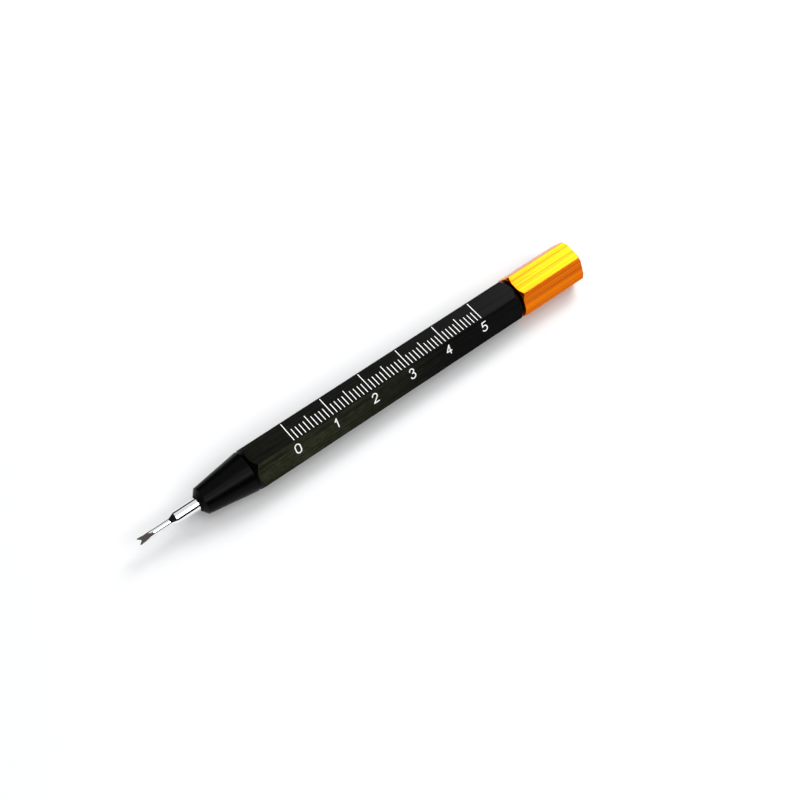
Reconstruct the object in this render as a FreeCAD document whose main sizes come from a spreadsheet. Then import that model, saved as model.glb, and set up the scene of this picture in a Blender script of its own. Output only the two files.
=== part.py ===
import FreeCAD, Part
import math
import os
import re
import Sketcher

# A pen-shaped watch-strap spring bar tool, in millimetres, +Z up.
# It lies on a table along X: the forked tip points to -X and the cap to +X. The origin is under its middle,
# on the table. Inside each body X is measured from the face where the nose meets the barrel.

SIZES = {
    # hexagonal stock of the barrel and the cap
    "across_flats": (9.35, "width of the hexagon across two opposite flats"),
    "edge_rounding": (0.18, "radius on the long edges of the hexagon"),
    "cap_twist": (5.0, "degrees between the cap's flats and the barrel's when the thread is tight"),
    # barrel
    "barrel_length": (72.0, "barrel, face to face"),
    "front_bevel_depth": (1.2, "how far the front bevel cuts the corners down, at the face"),
    "front_bevel_angle": (37.0, "degrees between the barrel's front bevel and its axis"),
    "rear_bevel_depth": (1.25, "how far the rear bevel cuts the corners down, at the face"),
    "rear_bevel_angle": (34.0, "degrees between the barrel's rear bevel and its axis"),
    "front_tapping": (7.0, "depth of the threaded hole for the nose"),
    "rear_tapping": (7.0, "depth of the threaded hole for the cap"),
    "tail_clearance": (0.2, "gap around the bit's tail in its hole"),
    # threads, M7 x 0.75, right hand
    "thread_width": (7.0, "diameter over the crests of the outer thread"),
    "thread_pitch": (0.75, "advance in one turn"),
    "thread_depth": (0.45, "height of the outer thread's ridge"),
    "thread_clearance": (0.05, "gap between outer and inner thread"),
    # scale and digits, engraved and filled with white paint
    "scale_shift": (0.3, "distance of the scale's middle in front of the barrel's middle"),
    "mark_spacing": (1.0, "distance between two marks"),
    "mark_width": (0.18, "width of one mark"),
    "mark_margin": (0.26, "distance of the marks from the flat's edge"),
    "long_mark": (4.85, "length of a centimetre mark"),
    "middle_mark": (3.5, "length of a half centimetre mark"),
    "short_mark": (2.55, "length of a millimetre mark"),
    "paint_depth": (0.12, "depth of the engraving"),
    "digit_height": (2.3, "height of a digit, over the paint"),
    "digit_width": (1.5, "width of a digit, over the paint"),
    "digit_stroke": (0.27, "width of a digit's line"),
    "digit_margin": (0.82, "distance of a digit's top from the flat's edge"),
    # nose cone
    "nose_length": (11.05, "nose, from the barrel's face to its front edge"),
    "nose_front_width": (6.15, "diameter of the front edge"),
    "nose_bevel": (0.95, "length of the shallow cone in front of that edge"),
    "mouth_gap": (0.45, "gap around the bit in the mouth, which the collet's jaws fill"),
    "nose_spigot": (6.5, "length of the threaded spigot"),
    "spigot_wall": (0.6, "thickness of the nose's spigot between its thread and its bore"),
    "nose_taper_length": (2.6, "length of the taper that closes the collet"),
    # collet
    "collet_recess": (0.45, "distance of the collet's tip behind the nose's face"),
    "collet_clearance": (0.06, "gap between the collet and the nose or the barrel"),
    "collet_slot": (0.4, "width of the four slots"),
    "collet_slot_end": (2.0, "rear end of the slots"),
    # bits
    "bit_width": (2.8, "diameter of the bit's shank"),
    "bit_length": (38.0, "bit, end to end"),
    "bit_tail": (12.0, "length of the bit behind the barrel's front face"),
    "bit_clearance": (0.03, "gap between the shank and the collet's bore"),
    "bit_turn": (28.0, "degrees between the fork's flats and the barrel's top flat"),
    "neck_width": (1.5, "diameter of the neck behind the blade"),
    "neck_length": (7.27, "distance from the tip to the front of the shoulder"),
    "shoulder_length": (1.3, "length of the cone between neck and shank"),
    "blade_length": (3.4, "length of the ground blade"),
    "fork_width": (1.6, "width over the fork's two points"),
    "fork_gap": (1.12, "width of the notch between the points"),
    "fork_notch": (0.62, "depth of the notch"),
    "fork_thickness": (0.42, "thickness of the points at the tip"),
    "fine_fork_width": (1.2, "width over the points of a fine fork"),
    "fine_fork_gap": (0.76, "width of the notch in a fine fork"),
    "pin_width": (0.9, "diameter of a push pin"),
    "pin_length": (3.0, "length of a push pin"),
    # spare bits in the store
    "spare_gap": (0.04, "half the gap between two spare bits"),
    "store_clearance": (0.07, "gap between a spare bit and the wall of the store"),
    "store_end_gap": (0.2, "gap between the spare bits and the front end of the store"),
    "store_play": (3.1, "gap between the spare bits and the cap's spigot"),
    # cap and its sealing ring
    "cap_length": (17.0, "cap, without its spigot"),
    "cap_front_bevel_depth": (0.63, "how far the cap's front bevel cuts the corners down, at the face"),
    "cap_end_bevel_depth": (0.45, "how far the cap's end bevel cuts the corners down, at the face"),
    "cap_bevel_angle": (45.0, "degrees between the cap's bevels and its axis"),
    "cap_spigot": (6.7, "length of the threaded spigot"),
    "ring_section": (1.0, "thickness of the sealing ring"),
    "ring_groove_depth": (0.55, "depth of the groove that the ring lies in, below the spigot"),
    "ring_setback": (0.15, "distance of the ring's groove from the cap's face"),
    "ring_clearance": (0.05, "gap between the ring and the groove"),
    "seat_depth": (1.4, "depth of the counterbore around the ring"),
}

# What several pieces share, as formulas over the sizes above.
CORNER = "(across_flats / sqrt(3))"
AXIS_HEIGHT = "((across_flats - 2 * edge_rounding) / sqrt(3) * cos(30 - cap_twist) + edge_rounding)"
BIT_FRONT = "(bit_tail - bit_length)"
MIDDLE = f"((barrel_length + cap_length + {BIT_FRONT}) / 2)"
CORE = "(thread_width / 2 - thread_depth)"
TAPPED = f"({CORE} + thread_clearance + 0.03)"
GROOVE = f"({CORE} - ring_groove_depth)"
SEAT = f"({GROOVE} + ring_section + 3 * ring_clearance)"
REAR_DATUM = "(barrel_length - rear_tapping)"
SCALE_START = "(barrel_length / 2 - 25 * mark_spacing - scale_shift)"
NOSE_FACE = "(-nose_length - nose_bevel)"
NOSE_BORE = f"({CORE} - spigot_wall)"
TAPER_FRONT = "(-nose_length)"
MOUTH = "(bit_width / 2 + mouth_gap)"
COLLET_FRONT = f"({NOSE_FACE} + collet_recess)"
SPARE_RADIUS = "((bit_width / 2 + spare_gap) / cos(30))"
SPARE_START = "(barrel_length - cap_spigot - store_play - bit_length)"
STORE_START = f"({SPARE_START} - store_end_gap)"
STORE_RADIUS = f"({SPARE_RADIUS} + bit_width / 2 + store_clearance)"
TAIL_RADIUS = "(bit_width / 2 + tail_clearance)"

doc = FreeCAD.newDocument("SpringBarTool")


# ---------------------------------------------------------------- the sheet, and formulas that read it
def make_sheet():
    """Write every size into the sheet, one row each: name, value, meaning."""
    table = doc.addObject("Spreadsheet::Sheet", "Sizes")
    for row, (name, (value, meaning)) in enumerate(SIZES.items(), start=1):
        table.set(f"A{row}", name)
        table.set(f"B{row}", str(value))
        table.setAlias(f"B{row}", name)
        table.set(f"C{row}", meaning)
    doc.recompute()
    return table


sheet = make_sheet()
SIZE_NAME = re.compile(r"\b(" + "|".join(SIZES) + r")\b")


def formula(text):
    """Point each size's name in a formula at its cell."""
    return SIZE_NAME.sub(r"Sizes.\1", str(text))


def bind(thing, **properties):
    """Bind properties of an object to formulas. A double underscore in a name stands for a dot."""
    for name, text in properties.items():
        thing.setExpression(name.replace("__", "."), formula(text))


def place(thing, x="0", y="0", z="0", turn="0"):
    """Put an object in the tool: x from the barrel's front face, y and z from the axis, turned about X."""
    bind(thing, Placement__Base__x=f"{x} - {MIDDLE}", Placement__Base__y=y,
         Placement__Base__z=f"{AXIS_HEIGHT} + {z}")
    thing.setExpression("Placement.Rotation.Axis.x", "1")
    thing.setExpression("Placement.Rotation.Axis.y", "0")
    thing.setExpression("Placement.Rotation.Axis.z", "0")
    bind(thing, Placement__Rotation__Angle=turn)


# ---------------------------------------------------------------- bodies, outlines and features
def new_body(name):
    body = doc.addObject("PartDesign::Body", name)
    body.Label = name
    body.AllowCompound = True
    return body


def outline(body, name, plane, corners, height=None):
    """Closed outline of straight edges on one of the body's origin planes. A corner is two formulas."""
    sketch = body.newObject("Sketcher::SketchObject", name)
    origin_plane = [item for item in body.Origin.OriginFeatures if item.Role == plane][0]
    sketch.AttachmentSupport = (origin_plane, "")
    sketch.MapMode = "FlatFace"
    if height:
        bind(sketch, AttachmentOffset__Base__z=height)
    count = len(corners)
    for index in range(count):
        ends = [FreeCAD.Vector(math.cos(angle), math.sin(angle), 0) for angle in
                (2 * math.pi * index / count, 2 * math.pi * (index + 1) / count)]
        sketch.addGeometry(Part.LineSegment(*ends), False)
    for index in range(count):
        sketch.addConstraint(Sketcher.Constraint("Coincident", index, 2, (index + 1) % count, 1))
    for index, corner in enumerate(corners):
        for kind, text in zip(("DistanceX", "DistanceY"), corner):
            number = sketch.addConstraint(Sketcher.Constraint(kind, -1, 1, index, 1, 1.0))
            sketch.renameConstraint(number, f"{kind}{index}")
            sketch.setExpression(f"Constraints.{kind}{index}", formula(text))
    doc.recompute()
    return sketch


def feature(body, kind, name, sketch, **properties):
    """Add a feature made from a sketch, and set its plain properties."""
    made = body.newObject(f"PartDesign::{kind}", name)
    made.Profile = sketch
    for key, value in properties.items():
        setattr(made, key, value)
    return made


def turned(body, kind, name, corners):
    """Add or cut, as Revolution or Groove, an outline of (x, radius) corners turned about the axis."""
    sketch = outline(body, f"{name}_outline", "XZ_Plane", corners)
    made = feature(body, kind, name, sketch, ReferenceAxis=(sketch, ["H_Axis"]), Angle=360)
    doc.recompute()
    return made


def block(body, kind, name, plane, corners, length, height=None, **properties):
    """Pad or pocket an outline, by a length given as a formula."""
    sketch = outline(body, f"{name}_outline", plane, corners, height)
    made = feature(body, kind, name, sketch, **properties)
    bind(made, Length=length)
    doc.recompute()
    return made


def rectangle(x_low, x_high, y_low, y_high):
    return [(x_low, y_low), (x_high, y_low), (x_high, y_high), (x_low, y_high)]


def hexagon_bar(body, name, start, length, twist="0"):
    """Length of hexagonal stock along X, flat side up, with its long edges rounded."""
    corners = [(f"{CORNER} * cos({60 * step} + {twist})", f"{CORNER} * sin({60 * step} + {twist})")
               for step in range(6)]
    bar = block(body, "Pad", name, "YZ_Plane", corners, length, height=start)
    long_edges = [f"Edge{number}" for number, edge in enumerate(bar.Shape.Edges, start=1)
                  if abs(edge.tangentAt(edge.FirstParameter).x) > 0.99]
    rounding = body.newObject("PartDesign::Fillet", f"{name}_rounding")
    rounding.Base = (bar, long_edges)
    bind(rounding, Radius="edge_rounding")
    doc.recompute()
    return rounding


def end_bevel(body, name, face, depth, angle, inward):
    """Turn the hexagon's corners down to a cone. Inward is 1 at a front end and -1 at a rear end."""
    outside = f"({CORNER} + 1)"
    return turned(body, "Groove", name, [
        (face, f"{CORNER} - {depth}"), (face, outside),
        (f"{face} + {inward} * ({depth} + 1) / tan({angle})", outside)])


def thread(body, kind, name, start, height, gap="0"):
    """Sweep the thread's ridge, or the matching groove when a gap is given, along a right-hand helix."""
    def half_width(depth):
        return f"(thread_pitch / 16 + ({depth}) * tan(30) + ({gap}) / cos(30))"
    inner = f"({CORE} - 0.06)"
    outer = f"(thread_width / 2 + {gap})"
    foot = half_width("thread_depth")
    crest = half_width("0")
    sketch = outline(body, f"{name}_outline", "XZ_Plane", [
        (f"{start} - {foot}", inner), (f"{start} - {crest}", outer),
        (f"{start} + {crest}", outer), (f"{start} + {foot}", inner)])
    helix = feature(body, kind, name, sketch, ReferenceAxis=(sketch, ["H_Axis"]), Mode=0)
    bind(helix, Pitch="thread_pitch", Height=height)
    doc.recompute()
    return helix


# ---------------------------------------------------------------- barrel
def make_barrel_blank():
    """Barrel before engraving: hexagonal stock, bevelled, bored from both ends and tapped."""
    body = new_body("barrel_blank")
    hexagon_bar(body, "bar", "0", "barrel_length")
    end_bevel(body, "front_bevel", "0", "front_bevel_depth", "front_bevel_angle", 1)
    end_bevel(body, "rear_bevel", "barrel_length", "rear_bevel_depth", "rear_bevel_angle", -1)
    seat_start = "barrel_length - seat_depth"
    turned(body, "Groove", "bores", [
        ("0", "0"), ("0", TAPPED), ("front_tapping", TAPPED), ("front_tapping", TAIL_RADIUS),
        (STORE_START, TAIL_RADIUS), (STORE_START, STORE_RADIUS),
        (REAR_DATUM, STORE_RADIUS), (REAR_DATUM, TAPPED),
        (seat_start, TAPPED), (seat_start, SEAT), ("barrel_length", SEAT), ("barrel_length", "0")])
    thread(body, "SubtractiveHelix", "nose_thread", "-thread_pitch",
           "front_tapping - thread_pitch / 2 + thread_pitch", gap="thread_clearance")
    thread(body, "SubtractiveHelix", "cap_thread", f"{REAR_DATUM} + thread_pitch",
           "rear_tapping - seat_depth", gap="thread_clearance")
    place(body)
    return body


# ---------------------------------------------------------------- white paint in the engraving
def make_marks(name, first, length, repeats, extra_steps):
    """One set of scale marks: paint that fills its grooves in the top flat, level with the flat."""
    body = new_body(name)
    near_end = f"-{CORNER} / 2 + mark_margin"
    bottom = "across_flats / 2 - paint_depth"
    marks = []
    for number, step in enumerate(extra_steps):
        centre = f"{SCALE_START} + {first + step} * mark_spacing"
        marks.append(block(body, "Pad", f"{name}_{number}", "XY_Plane",
                           rectangle(f"{centre} - mark_width / 2", f"{centre} + mark_width / 2",
                                     near_end, f"{near_end} + {length}"), "paint_depth", height=bottom))
    row = body.newObject("PartDesign::LinearPattern", f"{name}_row")
    row.Originals = marks
    row.Direction = (marks[0].Profile[0], ["H_Axis"])
    row.Mode = "Spacing"
    row.Occurrences = repeats
    bind(row, Offset="10 * mark_spacing")
    body.Tip = row
    place(body)
    return body


def digit_edges(number, width, height, foot):
    """Centre line of a digit as a list of edges, standing on the point foot."""
    half = width / 2

    def point(x, y):
        return foot + FreeCAD.Vector(x * half, y * height, 0)

    def lines(*corners):
        spots = [point(*corner) for corner in corners]
        return [Part.LineSegment(start, end).toShape() for start, end in zip(spots, spots[1:])]

    def arc(start, middle, end):
        return [Part.Arc(point(*start), point(*middle), point(*end)).toShape()]

    round_part = half / height
    return {
        0: (arc((-1, 1 - round_part), (0, 1), (1, 1 - round_part))
            + lines((1, 1 - round_part), (1, round_part))
            + arc((1, round_part), (0, 0), (-1, round_part))
            + lines((-1, round_part), (-1, 1 - round_part))),
        1: lines((-0.65, 0.72), (0.1, 1), (0.1, 0)),
        2: arc((-0.97, 0.76), (0.05, 1), (0.85, 0.58)) + lines((0.85, 0.58), (-1, 0), (1, 0)),
        3: arc((-0.95, 0.83), (0.7, 0.86), (-0.1, 0.54)) + arc((-0.1, 0.54), (0.93, 0.2), (-1, 0.14)),
        4: lines((0.4, 0), (0.4, 1), (-1, 0.3), (1, 0.3)),
        5: lines((0.85, 1), (-0.7, 1), (-0.85, 0.52)) + arc((-0.85, 0.52), (0.93, 0.3), (-1, 0.12)),
    }[number]


def brushed(edge, half_stroke):
    """Faces of one edge painted with a round brush: the band beside the edge, and a disc at each end."""
    def sides(parameter):
        spot = edge.valueAt(parameter)
        along = edge.tangentAt(parameter)
        across = FreeCAD.Vector(-along.y, along.x, 0) * half_stroke
        return spot + across, spot - across
    first, last = edge.FirstParameter, edge.LastParameter
    middle = sides((first + last) / 2)
    rims = [Part.Arc(start, through, end).toShape() if isinstance(edge.Curve, Part.Circle)
            else Part.LineSegment(start, end).toShape()
            for start, through, end in zip(sides(first), middle, sides(last))]
    caps = [Part.LineSegment(*sides(parameter)).toShape() for parameter in (first, last)]
    band = Part.Face(Part.Wire(Part.__sortEdges__(rims + caps)))
    discs = [Part.Face(Part.Wire(Part.makeCircle(half_stroke, edge.valueAt(parameter))))
             for parameter in (first, last)]
    return [band, *discs]


def make_digit(number):
    """Paint of one digit in the side flat below its centimetre mark, its top towards the scale."""
    half_stroke = sheet.digit_stroke / 2
    width = sheet.digit_width - sheet.digit_stroke
    height = sheet.digit_height - sheet.digit_stroke
    flat_edge = sheet.across_flats / math.sqrt(3) / 2
    up_the_flat = flat_edge - sheet.digit_margin - sheet.digit_height + half_stroke
    foot = FreeCAD.Vector(0, up_the_flat, sheet.across_flats / 2 - sheet.paint_depth)
    faces = []
    for edge in digit_edges(number, width, height, foot):
        faces += brushed(edge, half_stroke)
    up = FreeCAD.Vector(0, 0, sheet.paint_depth)
    strokes = [face.extrude(up) for face in faces]
    paint = strokes[0].fuse(strokes[1:]).removeSplitter()
    digit = doc.addObject("Part::Feature", f"scale_digit_{number}")
    digit.Label = f"scale_digit_{number}"
    digit.Shape = paint
    place(digit, x=f"{SCALE_START} + {10 * number} * mark_spacing", turn="60")
    return digit


def make_engraved_barrel(blank, paints):
    """Barrel with every mark and digit cut out of it, where the paint lies."""
    fill = doc.addObject("Part::MultiFuse", "paint")
    fill.Shapes = paints
    barrel = doc.addObject("Part::Cut", "barrel")
    barrel.Label = "barrel"
    barrel.Base = blank
    barrel.Tool = fill
    return barrel


# ---------------------------------------------------------------- nose cone and collet
def make_nose():
    """Turned cone with a shallow front bevel, a threaded spigot and the taper that closes the collet."""
    body = new_body("nose_cone")
    turned(body, "Revolution", "cone", [
        (NOSE_FACE, MOUTH), (TAPER_FRONT, "nose_front_width / 2"), ("0", "across_flats / 2"),
        ("0", f"{CORE} - 0.1"), ("thread_pitch", f"{CORE} - 0.1"), ("thread_pitch + 0.1", CORE),
        ("nose_spigot - 0.3", CORE), ("nose_spigot", f"{CORE} - 0.2"), ("nose_spigot", NOSE_BORE),
        (f"{TAPER_FRONT} + nose_taper_length", NOSE_BORE), (TAPER_FRONT, MOUTH)])
    thread(body, "AdditiveHelix", "spigot_thread", "2 * thread_pitch", "nose_spigot - 3.4 * thread_pitch")
    place(body)
    return body


def make_collet():
    """Brass collet: four springy jaws with a conical head, on a sleeve that seats in the barrel."""
    body = new_body("collet")
    gap = "collet_clearance"
    tip = f"{MOUTH} - {gap}"
    sleeve = f"{NOSE_BORE} - 2.5 * {gap}"
    hole = "bit_width / 2 + bit_clearance"
    taper_end = f"{TAPER_FRONT} + nose_taper_length"
    rear = f"front_tapping - {gap}"
    turned(body, "Revolution", "sleeve", [
        (COLLET_FRONT, hole), (COLLET_FRONT, tip), (f"{TAPER_FRONT} + {gap}", tip),
        (f"{taper_end} + {gap}", f"{NOSE_BORE} - {gap}"), (f"{taper_end} + 1", f"{NOSE_BORE} - {gap}"),
        (f"{taper_end} + 1.6", sleeve), (rear, sleeve), (rear, hole)])
    block(body, "Pocket", "upright_slot", "XZ_Plane",
          rectangle(f"{NOSE_FACE} - 1", "collet_slot_end", f"-{CORE}", CORE),
          "collet_slot", Midplane=True)
    block(body, "Pocket", "level_slot", "XY_Plane",
          rectangle(f"{NOSE_FACE} - 1", "collet_slot_end", f"-{CORE}", CORE),
          "collet_slot", Midplane=True)
    place(body)
    return body


# ---------------------------------------------------------------- bits
def bit_half(end, tip, inward):
    """Outline corners of one half of a bit, from its tip to the shank. Inward is +1 or -1 along X."""
    neck = "neck_width / 2"
    if end == "pin":
        return [(tip, "0"), (tip, "pin_width / 2 - 0.08"),
                (f"{tip} + {inward} * 0.08", "pin_width / 2"),
                (f"{tip} + {inward} * pin_length", "pin_width / 2"),
                (f"{tip} + {inward} * (pin_length + 0.1)", neck),
                (f"{tip} + {inward} * neck_length", neck),
                (f"{tip} + {inward} * (neck_length + shoulder_length)", "bit_width / 2")]
    blade = f"{end}_width / 2"
    return [(tip, "0"), (tip, blade),
            (f"{tip} + {inward} * (blade_length - 0.35)", blade),
            (f"{tip} + {inward} * blade_length", neck),
            (f"{tip} + {inward} * neck_length", neck),
            (f"{tip} + {inward} * (neck_length + shoulder_length)", "bit_width / 2")]


def grind_fork(body, name, end, tip, inward):
    """Grind the two wedge flats of a fork, then file the notch between its points."""
    thin = "fork_thickness / 2"
    high = f"({end}_width / 2 + 0.5)"
    for side, sign in (("top", 1), ("under", -1)):
        block(body, "Pocket", f"{name}_{side}_flat", "XZ_Plane", [
            (f"{tip} - {inward} * 0.5", f"{sign} * {thin}"),
            (f"{tip} - {inward} * 0.5", f"{sign} * {high}"),
            (f"{tip} + {inward} * (blade_length - 0.4)", f"{sign} * {high}"),
            (f"{tip} + {inward} * (blade_length - 0.8)", f"{sign} * {end}_width * 0.44"),
            (f"{tip}", f"{sign} * {thin}")], f"2 * {end}_width", Midplane=True)
    notch = block(body, "Pocket", f"{name}_notch", "XY_Plane", [
        (f"{tip} - {inward} * 0.2", f"-{end}_gap / 2 - 0.05"),
        (tip, f"-{end}_gap / 2"),
        (f"{tip} + {inward} * (fork_notch - 0.12)", f"-{end}_gap * 0.17"),
        (f"{tip} + {inward} * fork_notch", f"-{end}_gap * 0.07"),
        (f"{tip} + {inward} * fork_notch", f"{end}_gap * 0.07"),
        (f"{tip} + {inward} * (fork_notch - 0.12)", f"{end}_gap * 0.17"),
        (tip, f"{end}_gap / 2"),
        (f"{tip} - {inward} * 0.2", f"{end}_gap / 2 + 0.05")], f"2 * {end}_width", Midplane=True)
    return notch


def make_bit(name, front, rear):
    """Double-ended bit from X = 0 to its length. Each end is fork, fine_fork or pin."""
    body = new_body(name)
    corners = bit_half(front, "0", 1) + list(reversed(bit_half(rear, "bit_length", -1)))
    turned(body, "Revolution", "shank", corners)
    for side, end, tip, inward in (("front", front, "0", 1), ("rear", rear, "bit_length", -1)):
        if end != "pin":
            grind_fork(body, f"{side}_fork", end, tip, inward)
    return body


def make_spare(name, front, rear, angle):
    """Spare bit in the store, one of three around the axis."""
    body = make_bit(name, front, rear)
    place(body, x=SPARE_START, y=f"{SPARE_RADIUS} * cos({angle})",
          z=f"{SPARE_RADIUS} * sin({angle})", turn=angle)
    return body


# ---------------------------------------------------------------- cap and its ring
def make_cap():
    """Solid hexagonal cap with bevelled ends, a groove for the ring and a threaded spigot."""
    body = new_body("cap")
    hexagon_bar(body, "bar", "barrel_length", "cap_length", twist="cap_twist")
    end_bevel(body, "front_bevel", "barrel_length", "cap_front_bevel_depth", "cap_bevel_angle", 1)
    end_bevel(body, "end_bevel", "barrel_length + cap_length", "cap_end_bevel_depth",
              "cap_bevel_angle", -1)
    tip = "barrel_length - cap_spigot"
    groove_end = "barrel_length - ring_setback"
    groove_start = f"{groove_end} - ring_section - 2 * ring_clearance"
    turned(body, "Revolution", "spigot", [
        (tip, "0"), (tip, f"{CORE} - 0.3"), (f"{tip} + 0.3", CORE), (groove_start, CORE),
        (groove_start, GROOVE), (groove_end, GROOVE), (groove_end, CORE),
        ("barrel_length", CORE), ("barrel_length + 0.5", CORE), ("barrel_length + 0.5", "0")])
    thread(body, "AdditiveHelix", "spigot_thread", f"{REAR_DATUM} + 2 * thread_pitch",
           "rear_tapping - seat_depth - 2.2 * thread_pitch")
    place(body)
    return body


def make_ring():
    """Rubber ring in the cap's groove."""
    ring = doc.addObject("Part::Torus", "cap_o_ring")
    ring.Label = "cap_o_ring"
    bind(ring, Radius1=f"{GROOVE} + ring_clearance + ring_section / 2", Radius2="ring_section / 2",
         Placement__Base__x=f"barrel_length - ring_setback - ring_clearance - ring_section / 2 - {MIDDLE}",
         Placement__Base__z=AXIS_HEIGHT)
    ring.Placement.Rotation = FreeCAD.Rotation(FreeCAD.Vector(0, 1, 0), 90)
    return ring


# ---------------------------------------------------------------- the whole tool
def make_tool():
    """Make every piece, and return the ones that become files."""
    blank = make_barrel_blank()
    paints = [make_marks("scale_marks_cm", 0, "long_mark", 6, [0]),
              make_marks("scale_marks_half_cm", 5, "middle_mark", 5, [0]),
              make_marks("scale_marks_mm", 0, "short_mark", 5, [1, 2, 3, 4, 6, 7, 8, 9])]
    paints += [make_digit(number) for number in range(6)]
    bit = make_bit("bit", "fork", "pin")
    place(bit, x=BIT_FRONT, turn="bit_turn")
    return [make_engraved_barrel(blank, paints), *paints, make_nose(), make_collet(), bit,
            make_spare("spare_fork_bit", "fork", "fork", "90"),
            make_spare("spare_fine_fork_bit", "fine_fork", "fine_fork", "210"),
            make_spare("spare_pin_bit", "pin", "pin", "330"),
            make_cap(), make_ring()]


pieces = make_tool()
doc.recompute()

for thing in doc.Objects:
    if {"Invalid", "Error"} & set(thing.State):
        raise RuntimeError(f"{thing.Name} did not compute: {thing.State}")
for piece in pieces:
    if piece.Shape.isNull() or not piece.Shape.isValid():
        raise RuntimeError(f"{piece.Label} is not a valid shape")

os.makedirs("parts", exist_ok=True)
for piece in pieces:
    piece.Shape.exportStep(f"parts/{piece.Label}.step")
    box = piece.Shape.BoundBox
    print(f"{piece.Label:20s} solids {len(piece.Shape.Solids):2d}  volume {piece.Shape.Volume:9.3f}  "
          f"X {box.XMin:7.2f} {box.XMax:7.2f}  Y {box.YMin:6.2f} {box.YMax:6.2f}  "
          f"Z {box.ZMin:6.2f} {box.ZMax:6.2f}")
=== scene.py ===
import bpy
import math
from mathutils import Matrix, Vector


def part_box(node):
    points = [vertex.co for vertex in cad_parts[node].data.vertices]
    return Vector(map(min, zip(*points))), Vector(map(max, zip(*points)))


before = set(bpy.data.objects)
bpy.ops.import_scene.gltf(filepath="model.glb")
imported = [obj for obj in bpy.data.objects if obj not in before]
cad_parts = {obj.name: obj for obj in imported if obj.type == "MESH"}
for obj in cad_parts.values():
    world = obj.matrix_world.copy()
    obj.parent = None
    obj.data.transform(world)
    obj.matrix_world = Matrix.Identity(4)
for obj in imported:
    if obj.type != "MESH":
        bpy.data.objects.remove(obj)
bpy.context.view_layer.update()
bpy.ops.object.select_all(action="DESELECT")
scene = bpy.context.scene


# ------------------------------------------------------------------ camera
# A normal lens held about a quarter of a metre above the table, looking down at the tool from its digit side
# and from a little behind its nose. The tool's middle is the origin.
camera_spot = (-0.09660, -0.13256, 0.24926)
camera_tilt = math.radians(33.53)
camera_heading = math.radians(-38.455)
bpy.ops.object.camera_add(location=camera_spot, rotation=(camera_tilt, 0, camera_heading))
camera = bpy.context.object
camera.data.lens = 62.25
camera.data.sensor_width = 36
camera.data.clip_start = 0.01
scene.camera = camera
scene.view_settings.view_transform = "Standard"


# ------------------------------------------------------------------ table and studio
# A plain white table under a white tent. A large soft box stands beyond the cap, a second one fills from the
# camera's side, and a narrow strip hangs over the tool. The tent's skirt is dark up to about thirty-five
# degrees, and higher beyond the tip, which draws the dark lines on polished metal.
bpy.ops.mesh.primitive_plane_add(size=6, location=(0, 0, 0))
table = bpy.context.object
table.name = "table"
paper = bpy.data.materials.new("white paper")
paper.use_nodes = True
paper_shader = paper.node_tree.nodes["Principled BSDF"]
paper_shader.inputs["Base Color"].default_value = (0.79, 0.79, 0.79, 1)
paper_shader.inputs["Roughness"].default_value = 0.95
paper_shader.inputs["Specular IOR Level"].default_value = 0.1
table.data.materials.append(paper)


def soft_box(name, spot, aim, width, height, power):
    """Rectangular lamp that faces a point."""
    bpy.ops.object.light_add(type="AREA", location=spot)
    lamp = bpy.context.object
    lamp.name = name
    lamp.data.shape = "RECTANGLE"
    lamp.data.size = width
    lamp.data.size_y = height
    lamp.data.energy = power
    east, north, up = [end - start for start, end in zip(spot, aim)]
    lamp.rotation_euler = (math.atan2(math.hypot(east, north), -up), 0, math.atan2(-east, north))


soft_box("key", (0.53, 0.20, 0.52), (0.03, 0, 0), 0.42, 0.44, 4.1)
soft_box("strip", (0.05, -0.17, 0.60), (0, 0, 0), 0.50, 0.08, 0.5)
soft_box("near", (0.02, -0.55, 0.60), (0, 0, 0), 0.90, 0.32, 3.0)

room = bpy.data.worlds.new("studio room")
scene.world = room
room.use_nodes = True
room_nodes = room.node_tree.nodes
room_links = room.node_tree.links
room_nodes.clear()
direction = room_nodes.new("ShaderNodeTexCoord")
toward_cap_and_up = (0.3, 0, 1)
height = room_nodes.new("ShaderNodeVectorMath")
height.operation = "DOT_PRODUCT"
height.inputs[1].default_value = toward_cap_and_up
sky = room_nodes.new("ShaderNodeValToRGB")
sky.color_ramp.elements[0].position = 0.57
sky.color_ramp.elements[0].color = (0.01, 0.01, 0.01, 1)
sky.color_ramp.elements[1].position = 0.65
sky.color_ramp.elements[1].color = (0.84, 0.85, 0.87, 1)
seen = room_nodes.new("ShaderNodeLightPath")
lit = room_nodes.new("ShaderNodeBackground")
backdrop = room_nodes.new("ShaderNodeBackground")
backdrop.inputs["Color"].default_value = (0.93, 0.94, 0.95, 1)
either = room_nodes.new("ShaderNodeMixShader")
world_out = room_nodes.new("ShaderNodeOutputWorld")
room_links.new(direction.outputs["Generated"], height.inputs[0])
room_links.new(height.outputs["Value"], sky.inputs["Fac"])
room_links.new(sky.outputs["Color"], lit.inputs["Color"])
room_links.new(seen.outputs["Is Camera Ray"], either.inputs["Fac"])
room_links.new(lit.outputs[0], either.inputs[1])
room_links.new(backdrop.outputs[0], either.inputs[2])
room_links.new(either.outputs[0], world_out.inputs["Surface"])


# ------------------------------------------------------------------ barrel
# Drawn hexagonal aluminium with fine lines along its length, bevelled on a lathe at both ends, bored and
# tapped, then dyed black in the anodising bath. Reflection and shade are painted into the black: lighter
# near the nose and darker toward the cap, darker on the flat with the scale, lighter on the other flats, and
# darker on the bevels and end faces.
MM = 0.001


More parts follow.
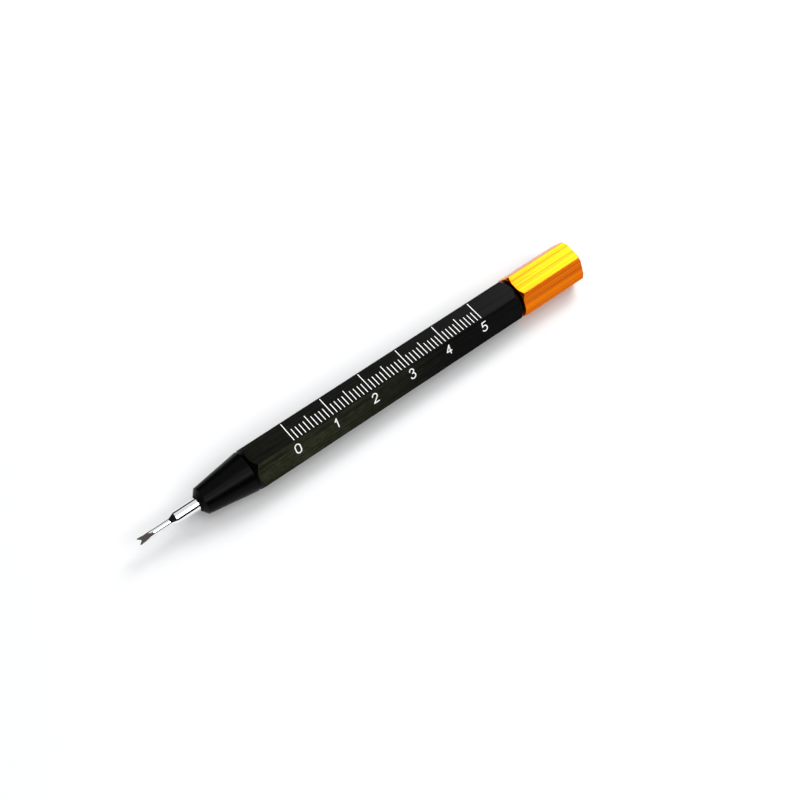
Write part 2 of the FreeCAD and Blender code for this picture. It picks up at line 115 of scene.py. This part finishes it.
def new_finish(name):
    """Empty material with its shader, and short ways to add a node and to join two sockets."""
    finish = bpy.data.materials.new(name)
    finish.use_nodes = True
    tree = finish.node_tree
    shader = tree.nodes["Principled BSDF"]

    def add(kind, **values):
        node = tree.nodes.new("ShaderNode" + kind)
        for key, value in values.items():
            if key in node.inputs:
                node.inputs[key].default_value = value
            else:
                setattr(node, key, value)
        return node

    return finish, shader, add, tree.links.new


def grain(add, join, across, along, detail=4.0, roughness=0.55):
    """Noise in bands: features are `along` metres long in X and `across` metres wide in Y and Z."""
    place = add("TexCoord")
    stretch = add("Mapping", Scale=(1 / along, 1 / across, 1 / across))
    noise = add("TexNoise", Scale=1.0, Detail=detail, Roughness=roughness)
    join(place.outputs["Object"], stretch.inputs["Vector"])
    join(stretch.outputs["Vector"], noise.inputs["Vector"])
    return noise.outputs["Fac"]


def ramp(add, join, source, *stops):
    """Colours between stops, each a position and a colour."""
    shades = add("ValToRGB")
    elements = shades.color_ramp.elements
    while len(elements) < len(stops):
        elements.new(0.5)
    for element, (position, colour) in zip(elements, stops):
        element.position = position
        element.color = (*colour, 1)
    join(source, shades.inputs["Fac"])
    return shades.outputs["Color"]


def between(add, join, source, low, high):
    """Stretch the middle of a noise into a range of values."""
    span = add("MapRange", **{"From Min": 0.3, "From Max": 0.7, "To Min": low, "To Max": high})
    join(source, span.inputs["Value"])
    return span.outputs["Result"]


def relief(add, join, source, height, shader):
    """Let a pattern stand up from the surface by a height in metres."""
    bump = add("Bump", Strength=1.0, Distance=height)
    join(source, bump.inputs["Height"])
    join(bump.outputs["Normal"], shader.inputs["Normal"])


def dress(node, finish):
    """Give a piece one finish all over."""
    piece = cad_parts[node]
    piece.data.materials.clear()
    piece.data.materials.append(finish)


black, shader, add, join = new_finish("black anodised aluminium")
barrel_low, barrel_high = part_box("barrel")
bands = grain(add, join, across=0.34 * MM, along=22 * MM, detail=3)
cloud = grain(add, join, across=0.9 * MM, along=1.6 * MM, detail=5, roughness=0.7)
place = add("TexCoord")
split = add("SeparateXYZ")
join(place.outputs["Object"], split.inputs[0])
along = add("MapRange", **{"From Min": barrel_low.x, "From Max": barrel_high.x})
join(split.outputs["X"], along.inputs["Value"])
# Painted reflection and shade: the black is lightened and tinted olive toward the nose and darkened toward
# the cap.
front_black_with_painted_sheen = (0.0082, 0.0088, 0.0048)
rear_black_with_painted_shade = (0.0007, 0.0008, 0.0007)
black_with_painted_sheen_along = ramp(add, join, along.outputs["Result"], (0.15, front_black_with_painted_sheen), (0.75, rear_black_with_painted_shade))
lines = ramp(add, join, bands, (0.36, (0.45, 0.45, 0.45)), (0.64, (1.7, 1.7, 1.7)))
brushed = add("MixRGB", blend_type="MULTIPLY", Fac=1.0)
join(black_with_painted_sheen_along, brushed.inputs[1])
join(lines, brushed.inputs[2])
patches = ramp(add, join, cloud, (0.36, (0.55, 0.58, 0.5)), (0.64, (1.4, 1.4, 1.3)))
mixed = add("MixRGB", blend_type="MULTIPLY", Fac=0.8)
join(brushed.outputs[0], mixed.inputs[1])
join(patches, mixed.inputs[2])
flats = add("SeparateXYZ")
join(place.outputs["Normal"], flats.inputs[0])
# Painted shade and reflection: the flat with the scale is darkened and the other five flats are lightened.
painted_flat_shading = add("MapRange", **{"From Min": 0.7, "From Max": 0.8, "To Min": 2.0, "To Max": 0.4})
join(flats.outputs["Z"], painted_flat_shading.inputs["Value"])
# Painted shade: the bevels and end faces are darkened, and this is multiplied with the painted shading of the
# flats.
lean = add("Math", operation="ABSOLUTE")
join(flats.outputs["X"], lean.inputs[0])
painted_bevel_shade = add("MapRange", **{"From Min": 0.2, "From Max": 0.4, "To Min": 1.0, "To Max": 0.08})
join(lean.outputs[0], painted_bevel_shade.inputs["Value"])
painted_shading_factor = add("Math", operation="MULTIPLY")
join(painted_flat_shading.outputs["Result"], painted_shading_factor.inputs[0])
join(painted_bevel_shade.outputs["Result"], painted_shading_factor.inputs[1])
shaded = add("VectorMath", operation="SCALE")
join(mixed.outputs[0], shaded.inputs[0])
join(painted_shading_factor.outputs[0], shaded.inputs["Scale"])
join(shaded.outputs[0], shader.inputs["Base Color"])
join(between(add, join, bands, 0.24, 0.46), shader.inputs["Roughness"])
shader.inputs["Specular IOR Level"].default_value = 0.05
relief(add, join, bands, 0.006 * MM, shader)
dress("barrel", black)


# ------------------------------------------------------------------ scale and digits
# White paint, wiped into the engraved marks and digits and left level with the flats. It dries matt and a
# little uneven.
white, shader, add, join = new_finish("white engraving paint")
mottle = grain(add, join, across=0.15 * MM, along=0.15 * MM)
join(ramp(add, join, mottle, (0.3, (0.84, 0.84, 0.82)), (0.7, (0.95, 0.95, 0.93))),
     shader.inputs["Base Color"])
shader.inputs["Roughness"].default_value = 0.55
relief(add, join, mottle, 0.006 * MM, shader)
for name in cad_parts:
    if name.startswith("scale_"):
        dress(name, white)


# ------------------------------------------------------------------ nose cone
# Turned aluminium with a threaded spigot behind its cone. It has the barrel's black dye but is smoother, with
# the lathe tool's fine rings on it.
satin, shader, add, join = new_finish("black turned aluminium")
rings = grain(add, join, across=40 * MM, along=0.09 * MM)
soft = grain(add, join, across=2 * MM, along=2 * MM, detail=3)
join(ramp(add, join, rings, (0.3, (0.0004, 0.0004, 0.0004)), (0.7, (0.0014, 0.0014, 0.0012))),
     shader.inputs["Base Color"])
join(between(add, join, soft, 0.20, 0.32), shader.inputs["Roughness"])
shader.inputs["Specular IOR Level"].default_value = 0.05
relief(add, join, rings, 0.0015 * MM, shader)
dress("nose_cone", satin)


# ------------------------------------------------------------------ collet
# Turned and slit brass, gripped between the nose cone's taper and the barrel. Only its tip shows, as a thin
# ring around the bit.
brass, shader, add, join = new_finish("turned brass")
rings = grain(add, join, across=40 * MM, along=0.07 * MM)
join(ramp(add, join, rings, (0.3, (0.62, 0.42, 0.14)), (0.7, (0.86, 0.66, 0.28))),
     shader.inputs["Base Color"])
shader.inputs["Metallic"].default_value = 1
join(between(add, join, rings, 0.2, 0.38), shader.inputs["Roughness"])
relief(add, join, rings, 0.002 * MM, shader)
dress("collet", brass)


# ------------------------------------------------------------------ bits
# Hardened steel wire, turned down at both ends and chromed. The two wedge flats of a fork and the point of a
# pin are ground afterwards, which leaves them bare, dark and matt. A fork's flats and its run-out are told
# from the round wire by their normals.
BLADE = 3.4 * MM
PIN = 3.0 * MM
FLAT_COSINE = 0.965
CONE_SLOPE = 0.3
EDGE = 0.02 * MM


def bit_steel(name, ends, turn):
    """Chrome with dark ground ends. Ends gives "fork" or "pin" at the front and the rear, and turn the angle
    of the forks' flats in degrees."""
    low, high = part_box(name)
    angle = math.radians(turn)
    steel, shader, add, join = new_finish(f"chromed steel of {name}")
    place = add("TexCoord")
    split = add("SeparateXYZ")
    join(place.outputs["Object"], split.inputs[0])
    facing = add("VectorMath", operation="DOT_PRODUCT")
    facing.inputs[1].default_value = (0, -math.sin(angle), math.cos(angle))
    join(place.outputs["Normal"], facing.inputs[0])
    either_flat = add("Math", operation="ABSOLUTE")
    join(facing.outputs["Value"], either_flat.inputs[0])
    flat = add("Math", operation="GREATER_THAN")
    flat.inputs[1].default_value = FLAT_COSINE
    join(either_flat.outputs[0], flat.inputs[0])
    tilt = add("SeparateXYZ")
    join(place.outputs["Normal"], tilt.inputs[0])
    slope = add("Math", operation="ABSOLUTE")
    join(tilt.outputs["X"], slope.inputs[0])
    steep = add("Math", operation="GREATER_THAN")
    steep.inputs[1].default_value = CONE_SLOPE
    join(slope.outputs[0], steep.inputs[0])
    ground_face = add("Math", operation="MAXIMUM")
    join(flat.outputs[0], ground_face.inputs[0])
    join(steep.outputs[0], ground_face.inputs[1])
    masks = []
    front = (ends[0], "LESS_THAN", low.x, 1)
    rear = (ends[1], "GREATER_THAN", high.x, -1)
    for end, operation, tip, inward in (front, rear):
        length = BLADE if end == "fork" else PIN
        reach = add("Math", operation=operation)
        reach.inputs[1].default_value = tip + inward * (length - EDGE)
        join(split.outputs["X"], reach.inputs[0])
        if end == "pin":
            masks.append(reach)
            continue
        part = add("Math", operation="MULTIPLY")
        join(reach.outputs[0], part.inputs[0])
        join(ground_face.outputs[0], part.inputs[1])
        masks.append(part)
    ground = add("Math", operation="MAXIMUM")
    join(masks[0].outputs[0], ground.inputs[0])
    join(masks[1].outputs[0], ground.inputs[1])
    rings = grain(add, join, across=30 * MM, along=0.05 * MM)
    scratches = grain(add, join, across=0.04 * MM, along=0.5 * MM)
    colour = add("MixRGB", blend_type="MIX")
    join(ground.outputs[0], colour.inputs["Fac"])
    chrome = ramp(add, join, rings, (0.3, (0.82, 0.83, 0.84)), (0.7, (0.92, 0.92, 0.93)))
    bare = ramp(add, join, scratches, (0.3, (0.026, 0.023, 0.020)), (0.7, (0.085, 0.075, 0.066)))
    join(chrome, colour.inputs[1])
    join(bare, colour.inputs[2])
    join(colour.outputs[0], shader.inputs["Base Color"])
    shader.inputs["Metallic"].default_value = 1
    polish = add("MixRGB", blend_type="MIX")
    join(ground.outputs[0], polish.inputs["Fac"])
    join(between(add, join, rings, 0.02, 0.05), polish.inputs[1])
    join(between(add, join, scratches, 0.35, 0.55), polish.inputs[2])
    join(polish.outputs[0], shader.inputs["Roughness"])
    relief(add, join, rings, 0.0003 * MM, shader)
    dress(name, steel)


bit_steel("bit", ("fork", "pin"), 28)
bit_steel("spare_fork_bit", ("fork", "fork"), 90)
bit_steel("spare_fine_fork_bit", ("fork", "fork"), 210)
bit_steel("spare_pin_bit", ("pin", "pin"), 330)


# ------------------------------------------------------------------ cap
# The same hexagonal stock, dyed gold. The drawing lines show strongly through the clear dye. The end faces
# and bevels are turned, so the lines stop there.
dark_gold = (0.52, 0.088, 0.0003)
mid_gold = (0.74, 0.16, 0.0005)
light_gold = (0.88, 0.225, 0.001)
gold, shader, add, join = new_finish("gold anodised aluminium")
fine = grain(add, join, across=0.10 * MM, along=40 * MM)
broad = grain(add, join, across=0.55 * MM, along=90 * MM, detail=2)
both = add("MixRGB", blend_type="MIX", Fac=0.5)
join(fine, both.inputs[1])
join(broad, both.inputs[2])
place = add("TexCoord")
turned = add("SeparateXYZ")
join(place.outputs["Normal"], turned.inputs[0])
end_face = add("Math", operation="ABSOLUTE")
join(turned.outputs["X"], end_face.inputs[0])
streaks = add("MixRGB", blend_type="MIX", Color2=(0.5, 0.5, 0.5, 1))
join(end_face.outputs[0], streaks.inputs["Fac"])
join(both.outputs[0], streaks.inputs[1])
shade = ramp(add, join, streaks.outputs[0], (0.40, dark_gold), (0.49, mid_gold), (0.60, light_gold))
join(shade, shader.inputs["Base Color"])
shader.inputs["Metallic"].default_value = 1
join(between(add, join, streaks.outputs[0], 0.22, 0.36), shader.inputs["Roughness"])
shader.inputs["Specular Tint"].default_value = (1, 0.6, 0.1, 1)
shader.inputs["Coat Weight"].default_value = 0.6
shader.inputs["Coat IOR"].default_value = 1.15
shader.inputs["Coat Roughness"].default_value = 0.15
relief(add, join, streaks.outputs[0], 0.010 * MM, shader)
dress("cap", gold)


# ------------------------------------------------------------------ sealing ring
# Moulded nitrile rubber, stretched into the groove of the cap's spigot. It shows only when the cap is
# unscrewed.
rubber, shader, add, join = new_finish("black rubber")
skin = grain(add, join, across=0.2 * MM, along=0.2 * MM)
join(ramp(add, join, skin, (0.3, (0.010, 0.010, 0.010)), (0.7, (0.022, 0.022, 0.022))),
     shader.inputs["Base Color"])
join(between(add, join, skin, 0.5, 0.65), shader.inputs["Roughness"])
relief(add, join, skin, 0.003 * MM, shader)
dress("cap_o_ring", rubber)
